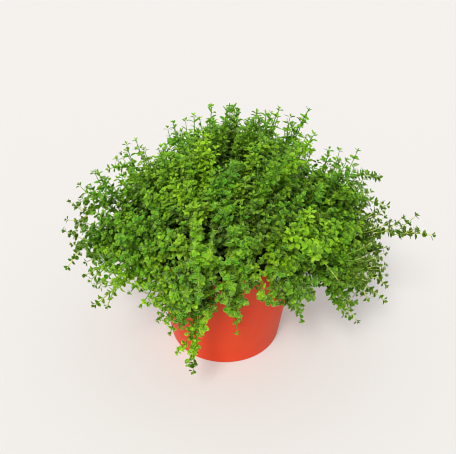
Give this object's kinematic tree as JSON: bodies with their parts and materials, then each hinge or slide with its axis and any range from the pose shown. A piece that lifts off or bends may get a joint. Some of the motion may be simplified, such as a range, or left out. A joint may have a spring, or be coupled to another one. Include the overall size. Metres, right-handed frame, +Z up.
{
  "type": "potted thyme",
  "caption": "Round plastic nursery pot of thyme: a dense cushion of upright, arching and trailing sprigs with small paired leaves, rooted in potting mix.",
  "frame": {"origin": "centre of the pot's flat base, on the surface that the pot stands on", "axes": "+Z up the pot's axis, -Y towards the front of the plant where one sprig hangs over the lip, +X towards the side where one sprig reaches out the furthest"},
  "size_m": [0.2773, 0.2018, 0.2022],
  "materials": {
    "pot_plastic": "satin",
    "potting_mix": "matte",
    "thyme_leaf": "matte",
    "thyme_stem": "matte"
  },
  "bodies": {
    "root": {"pot": "pot_plastic", "trailing_sprig_1": "thyme_leaf", "trailing_sprig_2": "thyme_leaf", "trailing_sprig_3": "thyme_leaf", "trailing_sprig_4": "thyme_leaf", "trailing_sprig_5": "thyme_leaf", "trailing_sprig_6": "thyme_leaf", "trailing_sprig_7": "thyme_leaf", "trailing_sprig_8": "thyme_leaf", "trailing_sprig_9": "thyme_leaf", "trailing_sprig_10": "thyme_leaf", "trailing_sprig_11": "thyme_leaf", "trailing_sprig_12": "thyme_leaf", "trailing_sprig_13": "thyme_leaf", "arching_sprig_1": "thyme_leaf", "arching_sprig_2": "thyme_leaf", "arching_sprig_3": "thyme_leaf", "arching_sprig_4": "thyme_leaf", "arching_sprig_5": "thyme_leaf", "arching_sprig_6": "thyme_leaf", "arching_sprig_7": "thyme_leaf", "arching_sprig_8": "thyme_leaf", "arching_sprig_9": "thyme_leaf", "arching_sprig_10": "thyme_leaf", "arching_sprig_11": "thyme_leaf", "upright_sprig_1": "thyme_leaf", "upright_sprig_2": "thyme_leaf", "upright_sprig_3": "thyme_leaf", "upright_sprig_4": "thyme_leaf", "upright_sprig_5": "thyme_leaf", "upright_sprig_6": "thyme_leaf", "upright_sprig_7": "thyme_leaf", "upright_sprig_8": "thyme_leaf", "centre_sprig_1": "thyme_leaf", "centre_sprig_2": "thyme_leaf", "centre_sprig_3": "thyme_leaf", "long_right_sprig": "thyme_leaf", "hanging_front_sprig": "thyme_leaf", "potting_mix": "potting_mix"}
  },
  "joints": []
}
